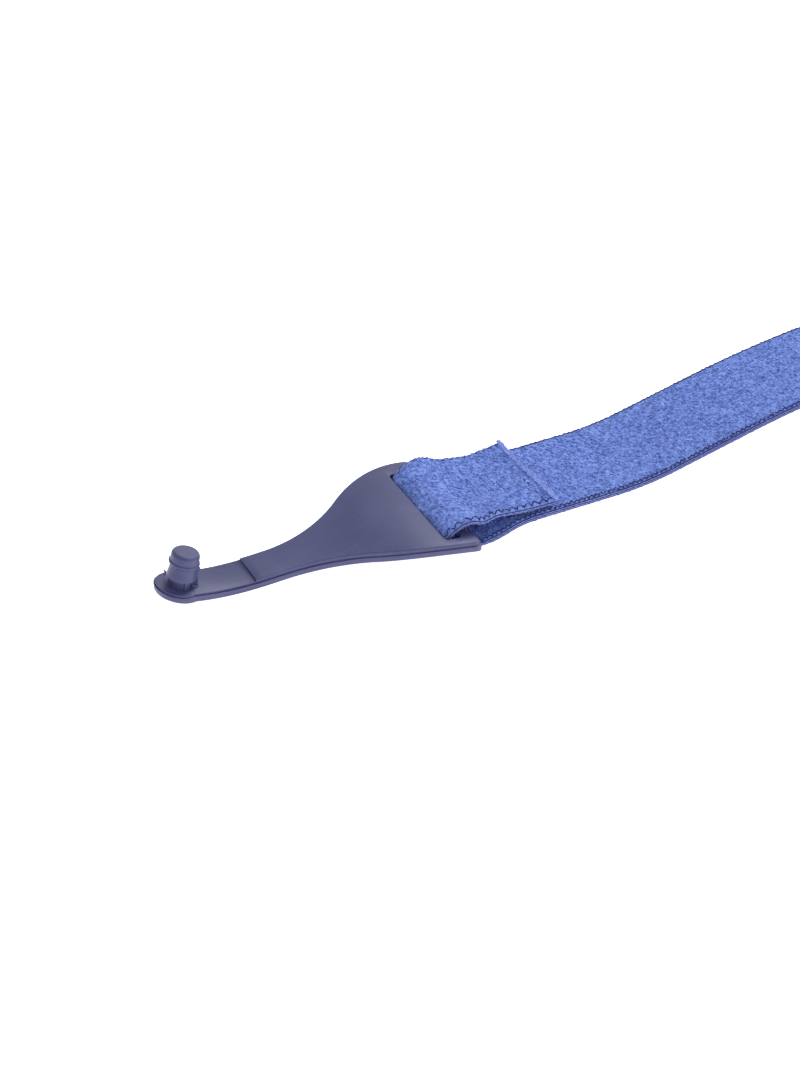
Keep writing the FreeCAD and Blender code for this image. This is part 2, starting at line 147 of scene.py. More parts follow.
def newMaterial(name, colour, roughness, sheen=0.0, sheenRoughness=0.5, specular=0.5):
    material = bpy.data.materials.new(name)
    material.use_nodes = True
    shader = material.node_tree.nodes["Principled BSDF"]
    shader.inputs["Base Color"].default_value = (*colour, 1)
    shader.inputs["Roughness"].default_value = roughness
    shader.inputs["Sheen Weight"].default_value = sheen
    shader.inputs["Sheen Roughness"].default_value = sheenRoughness
    shader.inputs["Specular IOR Level"].default_value = specular
    return material, material.node_tree, shader


def addRamp(tree, source, stops):
    ramp = tree.nodes.new("ShaderNodeValToRGB")
    band = ramp.color_ramp
    while len(band.elements) < len(stops):
        band.elements.new(0.5)
    for element, (position, colour) in zip(band.elements, stops):
        element.position = position
        element.color = (*colour, 1)
    tree.links.new(source, ramp.inputs["Fac"])
    return ramp.outputs["Color"]


def addMix(tree, blend, factor, first, second):
    mix = tree.nodes.new("ShaderNodeMix")
    mix.data_type, mix.blend_type = "RGBA", blend
    if isinstance(factor, float):
        mix.inputs[0].default_value = factor
    else:
        tree.links.new(factor, mix.inputs[0])
    tree.links.new(first, mix.inputs[6])
    tree.links.new(second, mix.inputs[7])
    return mix.outputs[2]


def addBump(tree, shader, height, distance, strength, below=None):
    bump = addNode(tree, "ShaderNodeBump", Distance=distance, Strength=strength)
    tree.links.new(height, bump.inputs["Height"])
    if below is not None:
        tree.links.new(below, bump.inputs["Normal"])
    tree.links.new(bump.outputs["Normal"], shader.inputs["Normal"])
    return bump.outputs["Normal"]


def addRange(tree, source, low, high):
    spread = addNode(tree, "ShaderNodeMapRange", To_Min=low, To_Max=high)
    tree.links.new(source, spread.inputs["Value"])
    return spread.outputs["Result"]


clipFinish = {
    "colour": (0.050, 0.055, 0.150),
    "paler": (0.060, 0.064, 0.168),
    "darker": (0.042, 0.047, 0.132),
    "grain": 5200,             # spark-eroded grain, per metre
    "roughness": (0.34, 0.48),
}


def makeClipPlastic():
    material, tree, shader = newMaterial("clip_plastic_moulded", clipFinish["colour"], 0.5,
                                         specular=0.4)
    place = tree.nodes.new("ShaderNodeTexCoord").outputs["Object"]
    cloud = addNode(tree, "ShaderNodeTexNoise", Scale=90.0, Detail=3.0, Roughness=0.5)
    grain = addNode(tree, "ShaderNodeTexNoise", Scale=float(clipFinish["grain"]), Detail=4.0,
                    Roughness=0.6)
    scratch = tree.nodes.new("ShaderNodeMapping")
    scratch.inputs["Scale"].default_value = (140, 2600, 400)
    scratch.inputs["Rotation"].default_value = (0, 0, 0.25)
    streaks = addNode(tree, "ShaderNodeTexNoise", Scale=1.0, Detail=2.0)
    tree.links.new(place, cloud.inputs["Vector"])
    tree.links.new(place, grain.inputs["Vector"])
    tree.links.new(place, scratch.inputs["Vector"])
    tree.links.new(scratch.outputs["Vector"], streaks.inputs["Vector"])
    tone = addRamp(tree, cloud.outputs["Fac"], [(0.3, clipFinish["darker"]),
                                                (0.5, clipFinish["colour"]),
                                                (0.72, clipFinish["paler"])])
    flecks = addRamp(tree, streaks.outputs["Fac"], [(0.35, (0.90, 0.90, 0.92)),
                                                    (0.7, (1.05, 1.05, 1.05))])
    tree.links.new(addMix(tree, "MULTIPLY", 0.8, tone, flecks), shader.inputs["Base Color"])
    tree.links.new(addRange(tree, grain.outputs["Fac"], *clipFinish["roughness"]),
                   shader.inputs["Roughness"])
    soft = addBump(tree, shader, streaks.outputs["Fac"], 0.00003, 0.35)
    addBump(tree, shader, grain.outputs["Fac"], 0.00005, 0.5, soft)
    return material


# deep, middle and tip colours of the pile: painted shade in its hollows up to painted light on its
# tips, with random mottle between
bandToneAndShade = {
    "deep": (0.096, 0.156, 0.470),
    "middle": (0.190, 0.294, 0.730),
    "tip": (0.305, 0.425, 0.900),
    "mottle": 3.0,             # patches of pile, per millimetre
    "nap": 2.0,
}


def makeBandFabric(name, lift=0.0, sheen=0.25):
    material, tree, shader = newMaterial(name, bandToneAndShade["middle"], 0.92, sheen=sheen,
                                         sheenRoughness=0.45, specular=0.15)
    place = tree.nodes.new("ShaderNodeUVMap").outputs["UV"]
    nap = tree.nodes.new("ShaderNodeAttribute")
    nap.attribute_name = "nap"
    mottle = addNode(tree, "ShaderNodeTexNoise", Scale=bandToneAndShade["mottle"], Detail=3.0,
                     Roughness=0.6)
    curls = addNode(tree, "ShaderNodeTexVoronoi", Scale=bandToneAndShade["nap"])
    shade = addNode(tree, "ShaderNodeTexNoise", Scale=0.16, Detail=2.0)
    rows = addNode(tree, "ShaderNodeTexWave", Scale=0.33, Distortion=2.4, Detail=2.0,
                   Detail_Scale=1.4)
    for texture in (mottle, curls, shade, rows):
        tree.links.new(place, texture.inputs["Vector"])
    # painted shade and light: the nap attribute makes the pile darker in its hollows and lighter on
    # its bumps; the mottle adds random tone
    height = tree.nodes.new("ShaderNodeMath")
    height.operation = "MULTIPLY_ADD"
    height.inputs[1].default_value = 0.6
    tree.links.new(nap.outputs["Fac"], height.inputs[0])
    tree.links.new(addRange(tree, mottle.outputs["Fac"], 0.10 + lift, 0.42 + lift),
                   height.inputs[2])
    pile = addRamp(tree, height.outputs["Value"], [(0.18, bandToneAndShade["deep"]),
                                                   (0.48, bandToneAndShade["middle"]),
                                                   (0.92, bandToneAndShade["tip"])])
    # painted shade between the curls: darker away from the middle of each curl
    curlGapShade = addRamp(tree, curls.outputs["Distance"], [(0.30, (1.10, 1.08, 1.04)),
                                                     (0.62, (0.52, 0.56, 0.70))])
    drift = addRamp(tree, shade.outputs["Fac"], [(0.3, (0.90, 0.91, 0.95)),
                                                 (0.7, (1.06, 1.05, 1.02))])
    ribs = addRamp(tree, rows.outputs["Fac"], [(0.0, (0.90, 0.91, 0.95)),
                                               (0.6, (1.03, 1.03, 1.01))])
    coloured = addMix(tree, "MULTIPLY", 0.75, pile, curlGapShade)
    coloured = addMix(tree, "MULTIPLY", 0.8, coloured, drift)
    coloured = addMix(tree, "MULTIPLY", 0.7, coloured, ribs)
    tree.links.new(coloured, shader.inputs["Base Color"])
    below = addBump(tree, shader, mottle.outputs["Fac"], 0.0002, 0.6)
    addBump(tree, shader, curls.outputs["Distance"], 0.00012, 0.5, below)
    return material


# the frayed yarns are pale, and glow faintly as painted light
frayToneAndGlow = {"lift": 0.45, "sheen": 0.3, "glow": (0.42, 0.50, 0.95, 1), "glowStrength": 0.26}


def makeFrayYarn():
    yarn = makeBandFabric("band_frayed_yarn", frayToneAndGlow["lift"], frayToneAndGlow["sheen"])
    sockets = yarn.node_tree.nodes["Principled BSDF"].inputs
    # painted light: loose fibres are thin enough for light to come through, and a faint glow stands
    # in for that light
    sockets["Emission Color"].default_value = frayToneAndGlow["glow"]
    sockets["Emission Strength"].default_value = frayToneAndGlow["glowStrength"]
    return yarn


def makeThread(name, colour, lighter, twist=3.0):
    material, tree, shader = newMaterial(name, colour, 0.8, specular=0.2)
    place = tree.nodes.new("ShaderNodeUVMap").outputs["UV"]
    ply = addNode(tree, "ShaderNodeTexWave", Scale=twist, Distortion=1.0)
    fleck = addNode(tree, "ShaderNodeTexNoise", Scale=2.6, Detail=3.0)
    tree.links.new(place, ply.inputs["Vector"])
    tree.links.new(place, fleck.inputs["Vector"])
    tone = addRamp(tree, fleck.outputs["Fac"], [(0.35, colour), (0.7, lighter)])
    strand = addRamp(tree, ply.outputs["Fac"], [(0.0, (0.7, 0.7, 0.74)),
                                                (0.6, (1.05, 1.05, 1.05))])
    tree.links.new(addMix(tree, "MULTIPLY", 0.7, tone, strand), shader.inputs["Base Color"])
    addBump(tree, shader, ply.outputs["Fac"], 0.00006, 0.5)
    return material


clipPlastic = makeClipPlastic()
bandFabric = makeBandFabric("band_loop_pile")
pileYarn = makeBandFabric("band_pile_yarn", lift=0.12, sheen=0.08)
frayYarn = makeFrayYarn()
edgeNavy = makeThread("edge_thread_navy", (0.012, 0.014, 0.085), (0.035, 0.045, 0.19))
edgePale = makeThread("edge_cord_pale", (0.22, 0.29, 0.74), (0.46, 0.52, 0.92))
cutYarn = makeThread("cut_yarn_pale", (0.44, 0.53, 0.95), (0.80, 0.85, 1.0))
hookTape = makeThread("hook_tape_lilac", (0.42, 0.42, 0.66), (0.62, 0.62, 0.84), twist=1.2)
seamThread = makeThread("seam_thread_blue", (0.060, 0.085, 0.330), (0.12, 0.16, 0.50))
print("materials ready")


# the line of the band, from the crest out to the cut end of the tail

bandLine = {
    "pegSpan": 300.0,
    "barCentre": 49.8,
    "barHeight": 3.124,
    "loopRadius": 2.5,
    "shoulderRadius": 6.0,
    "tailHeight": 4.15,
    "tailEnd": 17.9,
    "footHeight": 0.8,
    "footReach": 3.4,          # from the bar axis to where the foot starts
    "footRamp": 2.2,
    "runHeight": 2.2,
    "liftRadius": 20.0,
    "riseStart": 69.6,
    "riseRadius": 55.0,
    "riseSlope": 12.85,
    "crestHalf": 42.4,
    "bulge": (0.25, 0.62),     # how much wider than round the loop is, low and at its top
    "bulgeFrom": (1.6, 4.2),
    "ease": 0.35,              # how far corners between runs are smoothed
    "sample": 0.1,
}


def easeBetween(value, low, high):
    t = np.clip((value - low) / (high - low), 0, 1)
    return t * t * (3 - 2 * t)


def walkLine(start, heading, steps, sample):
    # a step is (length, radius, turn); a radius of 0 is a straight
    points = [start]
    x, z = start
    angle = math.radians(heading)
    for length, radius, turn in steps:
        count = max(1, int(round(length / sample)))
        for k in range(count):
            bend = turn * length / count / radius if radius else 0.0
            angle += bend / 2
            x += length / count * math.cos(angle)
            z += length / count * math.sin(angle)
            angle += bend / 2
            points.append((x, z))
    return points


def workOutLine(plan):
    slope = math.radians(plan["riseSlope"])
    barX = plan["barCentre"] - plan["pegSpan"] / 2
    riseEnd = plan["riseStart"] - plan["riseRadius"] * math.sin(slope)
    crestRadius = plan["crestHalf"] / math.sin(slope)
    straight = (riseEnd - plan["crestHalf"]) / math.cos(slope)
    top = (plan["runHeight"] + plan["riseRadius"] * (1 - math.cos(slope))
           + straight * math.sin(slope) + crestRadius * (1 - math.cos(slope)))
    lift = math.acos(1 - (plan["runHeight"] - plan["footHeight"]) / 2 / plan["liftRadius"])
    footX = barX + plan["footReach"]
    lifted = footX + 2 * plan["liftRadius"] * math.sin(lift)
    shoulder = math.acos(1 - (plan["barHeight"] + plan["loopRadius"] - plan["tailHeight"])
                         / (plan["loopRadius"] + plan["shoulderRadius"]))
    outward = walkLine((0.0, top), 180, [
        (crestRadius * slope, crestRadius, 1), (straight, 0, 0),
        (plan["riseRadius"] * slope, plan["riseRadius"], -1),
        (-lifted - plan["riseStart"], 0, 0),
        (plan["liftRadius"] * lift, plan["liftRadius"], 1),
        (plan["liftRadius"] * lift, plan["liftRadius"], -1)], plan["sample"])
    low = plan["barHeight"] - plan["loopRadius"]
    foot = [(footX - d, plan["footHeight"]
             + (low - plan["footHeight"]) * min(1, d / plan["footRamp"]))
            for d in np.arange(plan["sample"], plan["footReach"], plan["sample"])]
    tail = plan["tailEnd"] - (plan["loopRadius"] + plan["shoulderRadius"]) * math.sin(shoulder)
    back = walkLine((barX, low), 180, [
        ((math.pi + shoulder) * plan["loopRadius"], plan["loopRadius"], -1),
        (shoulder * plan["shoulderRadius"], plan["shoulderRadius"], 1),
        (tail, 0, 0)], plan["sample"])
    firm, slack = plan["bulge"]
    # past the bar the loop stands wider than a circle, most at its top
    back = [(barX - (barX - x)
             * (1 + firm + (slack - firm) * easeBetween(z, *plan["bulgeFrom"])), z)
            if x < barX else (x, z) for x, z in back]
    points = np.array(outward + foot + back)
    points = np.vstack([points[1:][::-1] * (-1, 1), points])     # both sides of the crest
    curlGapShade = np.hypot(*np.diff(points, axis=0).T)
    run = np.concatenate([[0], np.cumsum(curlGapShade)])
    run -= run[len(run) // 2]
    even = np.linspace(run[0], run[-1], int((run[-1] - run[0]) / plan["sample"]))
    line = np.column_stack([np.interp(even, run, points[:, i]) for i in (0, 1)])
    reach = int(3 * plan["ease"] / plan["sample"])
    weights = np.exp(-0.5 * (np.arange(-reach, reach + 1) * plan["sample"] / plan["ease"]) ** 2)
    weights /= weights.sum()
    padded = np.pad(line, ((reach, reach), (0, 0)), mode="reflect", reflect_type="odd")
    line = np.column_stack([np.convolve(padded[:, i], weights, "valid") for i in (0, 1)])
    return even, line


lineAt, linePoints = workOutLine(bandLine)
lineSlope = np.gradient(linePoints, lineAt, axis=0)
lineSlope /= np.linalg.norm(lineSlope, axis=1)[:, None]
cutAt = lineAt[-1]
outwardHalf = lineAt >= 0


def runAtX(x, part="main"):
    # distance along the band from the crest to a place on the main run or on the tail
    half = np.flatnonzero(outwardHalf)
    turn = half[np.argmin(linePoints[half, 0])]
    chosen = half[half <= turn] if part == "main" else half[half > turn]
    return float(lineAt[chosen[np.argmin(np.abs(linePoints[chosen, 0] - x))]])


barX = bandLine["barCentre"] - bandLine["pegSpan"] / 2
bandJoins = {                  # two bodies share the band from X to X, at a height
    "stretch": (36, -36, 11.5),
    "fold": (-36.8, -46.8, 7.1),
    "run": (-58, barX + 4.5, 2),
    "peel": (barX + 3.4, barX + 7.0, 4),
    "slide": (barX + 7.0, barX + 15.4, 4),
}
runAt = {
    "foldIn": runAtX(bandJoins["fold"][0]),
    "foldOut": runAtX(bandJoins["fold"][1]),
    "loopIn": runAtX(barX + 2.6),
    "turn": runAtX(-200.0),    # further out than the band goes, so its outermost point
    "tailIn": runAtX(barX + 2.0, "tail"),
    "slideIn": runAtX(barX + 7.0, "tail"),
    "seam": cutAt - 1.9,
    "cut": cutAt,
}

bandBuild = {
    "halfWidth": 10.0,
    "loopHalfWidth": 10.3,
    "tailHalfWidth": 9.5,
    "slotShift": -0.62,        # the band lies nearer one end of the slot
    "cutSkew": (-0.175, -0.071),   # the end is cut off square, less or more, by where it is across
    "above": 0.72,             # cloth over the line, on the side that is up along the run
    "below": 0.70,
    "ringStep": 0.25,
    "columns": 78,
    "relief": 0.036,
    "bumpCap": 0.14,
    "bumpShadeToLight": 0.40,         # painted shade and light: a bump this high takes the pile from its painted shade in the hollows to its painted light on top
    "groundNap": 0.26,
    "sideInset": 0.12,
    "edgeRound": (0.94, 0.06, 0.26),   # from where across, over how much, how far down
    "seamDip": 0.06,
    "seamSpread": 0.42,
}


def halfWidthAt(a):
    a = np.abs(a)
    narrow = easeBetween(a, runAt["loopIn"] - 14, runAt["loopIn"] + 1)
    tail = easeBetween(a, runAt["tailIn"], runAt["slideIn"])
    width = bandBuild["halfWidth"] + (bandBuild["loopHalfWidth"] - bandBuild["halfWidth"]) * narrow
    return width + (bandBuild["tailHalfWidth"] - bandBuild["loopHalfWidth"]) * tail


def shiftAt(a):
    a = np.abs(a)
    inSlot = easeBetween(a, runAt["loopIn"] - 10, runAt["loopIn"] + 3)
    backAgain = easeBetween(a, runAt["turn"] + 1, runAt["cut"] - 4)
    return bandBuild["slotShift"] * inSlot * (1 - 0.9 * backAgain)


def aboveAt(a):
    # the side that meets the bar is pressed thin
    a = np.abs(a)
    pressed = easeBetween(a, runAt["loopIn"] - 3, runAt["loopIn"] + 1.5)
    freeEnd = easeBetween(a, runAt["tailIn"], runAt["tailIn"] + 4)
    return bandBuild["above"] - 0.27 * pressed - 0.13 * freeEnd


def belowAt(a):
    # thin on the floor under the bar, full again as the band comes up through the slot
    a = np.abs(a)
    floorPart = (easeBetween(a, runAt["loopIn"] - 3, runAt["loopIn"])
                 * (1 - easeBetween(a, runAt["turn"] - 2.6, runAt["turn"] - 0.4)))
    return bandBuild["below"] - 0.22 * floorPart


def squeezeAt(a):
    # the edge threads draw together where the band is pressed thin
    return np.minimum(aboveAt(a), belowAt(a)) / bandBuild["below"]


def liesOnFloor(a, under, before):
    # on the main run, lower than a height and some way short of the turn
    return (np.interp(a, lineAt, linePoints[:, 1]) < under) & (a < runAt["turn"] - before)


def seamDipAt(a):
    return bandBuild["seamDip"] * np.exp(-((a - runAt["seam"]) / bandBuild["seamSpread"]) ** 2)


tailRise = {
    "marks": (-5.5, -2.5, 1.5, 6.0, 10.5, 15.0, 18.6),     # along the tail from the bar
    "far": (0.0, 0.55, 1.35, 1.05, 0.15, 0.50, 1.10),      # how far each edge stands up there
    "near": (0.0, 0.10, 0.60, 0.78, 0.05, -0.28, -0.36),
}


def tailWave(a, y):
    # the free end is not flat: both edges hump out of the slot and one corner stands up
    along = np.abs(a) - cutAt + bandLine["tailEnd"]
    across = np.clip(y / bandBuild["tailHalfWidth"], -1, 1)
    far = np.interp(along, tailRise["marks"], tailRise["far"])
    near = np.interp(along, tailRise["marks"], tailRise["near"])
    return far * np.clip(across, 0, 1) ** 1.7 + near * np.clip(-across, 0, 1) ** 2.2


def makeReliefTable(seed, blur):
    table = np.random.default_rng(seed).standard_normal((1400, 110))
    for axis in (0, 1):
        for step in range(blur):
            table = (np.roll(table, 1, axis) + 2 * table + np.roll(table, -1, axis)) / 4
    return table / table.std()


reliefTables = [makeReliefTable(11 + face, 1) + 0.25 * makeReliefTable(31 + face, 4)
                for face in (0, 1)]


def reliefAt(a, y, face):
    table = reliefTables[face]
    row = (a + 170) / 0.25
    column = (y + 13) / 0.25
    i = np.clip(row.astype(int), 0, table.shape[0] - 2)
    j = np.clip(column.astype(int), 0, table.shape[1] - 2)
    u, v = row - i, column - j
    return ((table[i, j] * (1 - u) + table[i + 1, j] * u) * (1 - v)
            + (table[i, j + 1] * (1 - u) + table[i + 1, j + 1] * u) * v)


def bumpsAt(a, y, side, face):
    cap = bandBuild["bumpCap"]
    return np.clip(reliefAt(side * a, side * y, face) * bandBuild["relief"], -cap, cap)


def onBand(a, y, rise, side):
    # a point on the band: a along it, y across it, rise off its line towards the run's
    # upper side. a grows from the crest; the right side is the left one turned half round.
    x = np.interp(a, lineAt, linePoints[:, 0])
    z = np.interp(a, lineAt, linePoints[:, 1])
    tx = np.interp(a, lineAt, lineSlope[:, 0])
    tz = np.interp(a, lineAt, lineSlope[:, 1])
    size = np.hypot(tx, tz)
    rise = rise - tailWave(a, y)
    across = y + shiftAt(a)
    x = x + easeBetween(np.abs(a), runAt["slideIn"], runAt["cut"]) * (
        bandBuild["cutSkew"][0] + bandBuild["cutSkew"][1] * y)
    points = np.stack([x + tz / size * rise, across, z - tx / size * rise], axis=-1)
    if side < 0:
        points = points * (-1, -1, 1)
    return points * mm


# mesh helpers

def newPiece(name, points, faces, material, uv=None, nap=None, flatFrom=None):
    mesh = bpy.data.meshes.new(name)
    mesh.from_pydata(points.reshape(-1, 3).tolist(), [], faces)
    mesh.polygons.foreach_set("use_smooth", np.arange(len(faces)) < (flatFrom or len(faces)))
    if uv is not None:
        corners = np.zeros(len(mesh.loops), np.int32)
        mesh.loops.foreach_get("vertex_index", corners)
        layer = mesh.uv_layers.new(name="along_across")
        layer.data.foreach_set("uv", uv.reshape(-1, 2)[corners].astype(np.float32).ravel())
    if nap is not None:
        level = mesh.attributes.new("nap", "FLOAT", "POINT")
        level.data.foreach_set("value", nap.astype(np.float32).ravel())
    mesh.materials.append(material)
    mesh.update()
    piece = bpy.data.objects.new(name, mesh)
    bpy.context.scene.collection.objects.link(piece)
    return piece


def ringFaces(rings, around, start=0):
    i = np.arange(rings - 1)[:, None] * around
    j = np.arange(around)[None, :]
    k = (j + 1) % around
    quads = np.stack([i + j, i + k, i + around + k, i + around + j], axis=-1)
    return (quads.reshape(-1, 4) + start).tolist()


def endFaces(rings, around):
    # strips of quads that close the two ends of a flattened ring
    last = (rings - 1) * around
    quads = []
    for k in range(around // 2 - 1):
        m = around - 1 - k
        quads += [(k, m, m - 1, k + 1), (last + k, last + k + 1, last + m - 1, last + m)]
    return quads


def makeStrands(name, lines, radii, sides, material, uv=None, nap=None):
    # many tubes at once: lines is (strand, point, xyz) in metres, radii is in millimetres
    count, length = lines.shape[:2]
    ahead = np.gradient(lines, axis=1)
    ahead /= np.linalg.norm(ahead, axis=2)[..., None] + 1e-12
    up = np.zeros_like(ahead)
    up[..., 2] = 1
    flat = np.abs(ahead[..., 2]) > 0.9
    up[flat] = (0, 1, 0)
    first = np.cross(ahead, up)
    first /= np.linalg.norm(first, axis=2)[..., None] + 1e-12
    second = np.cross(ahead, first)
    radii = np.broadcast_to(np.asarray(radii, float), (count, length))[..., None, None] * mm
    turn = np.linspace(0, 2 * math.pi, sides, endpoint=False)[None, None, :, None]
    points = lines[:, :, None] + radii * (np.cos(turn) * first[:, :, None]
                                          + np.sin(turn) * second[:, :, None])
    one = np.array(ringFaces(length, sides))
    shift = (np.arange(count) * length * sides)[:, None, None]
    faces = (one[None] + shift).reshape(-1, 4).tolist()
    walls = len(faces)
    ends = np.arange(sides)
    caps = np.stack([ends[::-1], ends + (length - 1) * sides])
    faces += (caps[None] + shift).reshape(-1, sides).tolist()
    if uv is None:
        along = np.arange(length)[None, :, None] * 0.4 + np.arange(count)[:, None, None] * 1.37
        uv = np.stack(np.broadcast_arrays(along, np.arange(sides)[None, None, :] * 0.3), axis=-1)
    else:
        uv = np.broadcast_to(uv[:, :, None], (count, length, sides, 2))
    if nap is not None:
        nap = np.broadcast_to(nap[:, :, None], (count, length, sides))
    return newPiece(name, points, faces, material, uv, nap, walls)


def settle(piece, move):
    # one body to ride on; a piece between two bodies is only baked where it lies
    if len(move) == 1:
        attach(piece, move[0])
    else:
        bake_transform(piece)
    return piece


# the band, its pile and its two woven edges

def bandStretch(name, fromRun, toRun, side, move):
    columns = bandBuild["columns"]
    rings = max(8, int(round((toRun - fromRun) / bandBuild["ringStep"])) + 1)
    a = np.linspace(fromRun, toRun, rings)[:, None]
    t = np.linspace(-1, 1, columns)[None, :]
    half = halfWidthAt(a)
    y = t * (half - bandBuild["sideInset"])
    roundFrom, roundOver, roundDrop = bandBuild["edgeRound"]
    edge = np.clip((np.abs(t) - roundFrom) / roundOver, 0, 1) ** 2 * roundDrop
    faces = []
    # painted shade and light: each face's nap level follows its bumps, darker in the hollows and
    # lighter on top
    for face, thick in ((0, aboveAt(a)), (1, belowAt(a))):
        bumps = bumpsAt(a, y, side, face) * (1 - 0.7 * (edge > 0))
        if face == 1:
            bumps = bumps - seamDipAt(a)
            bumps = np.where(liesOnFloor(a, 1.3, 1.5), np.minimum(bumps, 0.0), bumps)
        faces.append((thick + bumps - edge,
                      bandBuild["groundNap"] + bumps / bandBuild["bumpShadeToLight"]))
    (top, topPileShade), (bottom, bottomPileShade) = faces
    wallUp, wallDown = aboveAt(a) * 0.36, belowAt(a) * 0.36
    ys = np.concatenate([-half, y, half, half, y[:, ::-1], -half], axis=1)
    rises = np.concatenate([wallUp, top, wallUp, -wallDown, -bottom[:, ::-1], -wallDown], axis=1)
    flat = np.full((rings, 1), 0.05)
    nap = np.concatenate([flat, topPileShade, flat, flat, bottomPileShade[:, ::-1], flat], axis=1)
    along = np.broadcast_to(a, ys.shape)
    points = onBand(along, ys, rises, side)
    around = ys.shape[1]
    quads = ringFaces(rings, around) + endFaces(rings, around)
    uv = np.stack([side * along, side * ys + np.where(rises < 0, 40, 0)], axis=-1)
    piece = newPiece(name, points, quads, bandFabric, uv, np.clip(nap, 0, 1),
                     (rings - 1) * around)
    return settle(piece, move)


pileBuild = {
    "perArea": 3.3,            # curls on a square millimetre
    "perAreaUnder": 1.5,
    "across": 19,              # the width that carries curls
    "row": 0.62,               # the curls stand in rows across the band
    "span": (0.16, 0.30),
    "height": (0.10, 0.24),
    "thick": (0.045, 0.085),
    "edgeHairs": 5.0,          # hairs on a millimetre of edge
    "hairLong": (0.22, 0.62),
    "floorCurl": 0.02,         # how tall a curl is where the floor presses it
    "root": 0.04,
    "curlEnd": 0.08,
}


def pileStretch(name, fromRun, toRun, side, move):
    lines, uvs, shadeAndTone, radii = [], [], [], []
    turn = np.linspace(pileBuild["curlEnd"], math.pi - pileBuild["curlEnd"], 5)[None, :]
    # the face that lies underneath has fewer curls
    mainRun, freeEnd = toRun <= runAt["loopIn"] + 1, fromRun > runAt["loopIn"] - 1
    for face, upper in ((0, mainRun), (1, freeEnd)):
        density = pileBuild["perArea"] if upper else pileBuild["perAreaUnder"]
        count = int((toRun - fromRun) * pileBuild["across"] * density)
        a = dice.uniform(fromRun, toRun, (count, 1))
        a = np.round(a / pileBuild["row"]) * pileBuild["row"] + dice.normal(0, 0.13, (count, 1))
        y = dice.uniform(-1, 1, (count, 1)) * (halfWidthAt(a) - 0.35)
        way = dice.uniform(0, 2 * math.pi, (count, 1))
        span = dice.uniform(*pileBuild["span"], (count, 1))
        tall = dice.uniform(*pileBuild["height"], (count, 1))
        lean = dice.normal(0, 0.07, (count, 1))
        reach = -np.cos(turn) * span
        along = np.clip(a + reach * np.cos(way) + lean * np.sin(turn), fromRun, toRun)
        ys = y + reach * np.sin(way) + lean * np.sin(turn)
        bumps = bumpsAt(a, y, side, face)
        if face == 1:
            tall = np.where(liesOnFloor(a, 1.6, 1.5), pileBuild["floorCurl"], tall)
            bumps = bumps - seamDipAt(a)
        thick = aboveAt(a) if face == 0 else belowAt(a)
        rise = thick + bumps - pileBuild["root"] + np.sin(turn) * tall
        rise = rise if face == 0 else -rise
        lines.append(onBand(along, ys, rise, side))
        uvs.append(np.stack([side * along, side * ys + 40 * face], axis=-1))
        # painted shade and light: a curl is lighter at the top of its arch and on high bumps,
        # darker at its roots; a random tone is added
        tone = dice.normal(0, 0.15, (count, 1))
        shadeAndTone.append(np.clip(0.40 + tone + bumps / bandBuild["bumpShadeToLight"] * 0.5
                            + np.sin(turn) * 0.30, 0, 1))
        radii.append(dice.uniform(*pileBuild["thick"], (count, 1)) * np.ones_like(turn))
    # short hairs stand off both edges
    count = int((toRun - fromRun) * 2 * pileBuild["edgeHairs"])
    a = dice.uniform(fromRun, toRun, (count, 1))
    edge = np.where(dice.random((count, 1)) < 0.5, -1.0, 1.0)
    long = dice.uniform(*pileBuild["hairLong"], (count, 1))
    t = np.linspace(0, 1, 5)[None, :]
    along = np.clip(a + dice.normal(0, 0.35, (count, 1)) * long * t, fromRun, toRun)
    ys = edge * (halfWidthAt(a) - 0.05 + long * t * 0.8)
    thin = np.minimum(aboveAt(a), belowAt(a))
    rise = dice.uniform(-0.45, 0.5, (count, 1)) * thin / bandBuild["below"]
    rise = rise + dice.normal(0.0, 0.45, (count, 1)) * long * t ** 2
    rise = np.maximum(rise, 0.08 - np.interp(a, lineAt, linePoints[:, 1]))
    lines.append(onBand(along, ys, rise, side))
    uvs.append(np.stack([side * along, side * ys], axis=-1))
    # the hairs are lighter towards their tips
    shadeAndTone.append(0.45 + 0.5 * t + 0 * a)
    radii.append(0.045 - 0.022 * t + 0 * a)
    piece = makeStrands(name, np.concatenate(lines), np.concatenate(radii), 3, pileYarn,
                        np.concatenate(uvs), np.concatenate(shadeAndTone))
    return settle(piece, move)


edgeBuild = {
    "scallop": (1.0, 1.45),    # pitch of the edge stitches, on the run and on the tail
    "reach": (0.42, 0.72),
    "sunk": 0.12,
    "crown": 0.19,
    "thread": 0.115,
    "cord": 0.075,
    "cordRises": (0.20, -0.22),
    "selvedgeRises": (0.36, 0.0, -0.42),
}


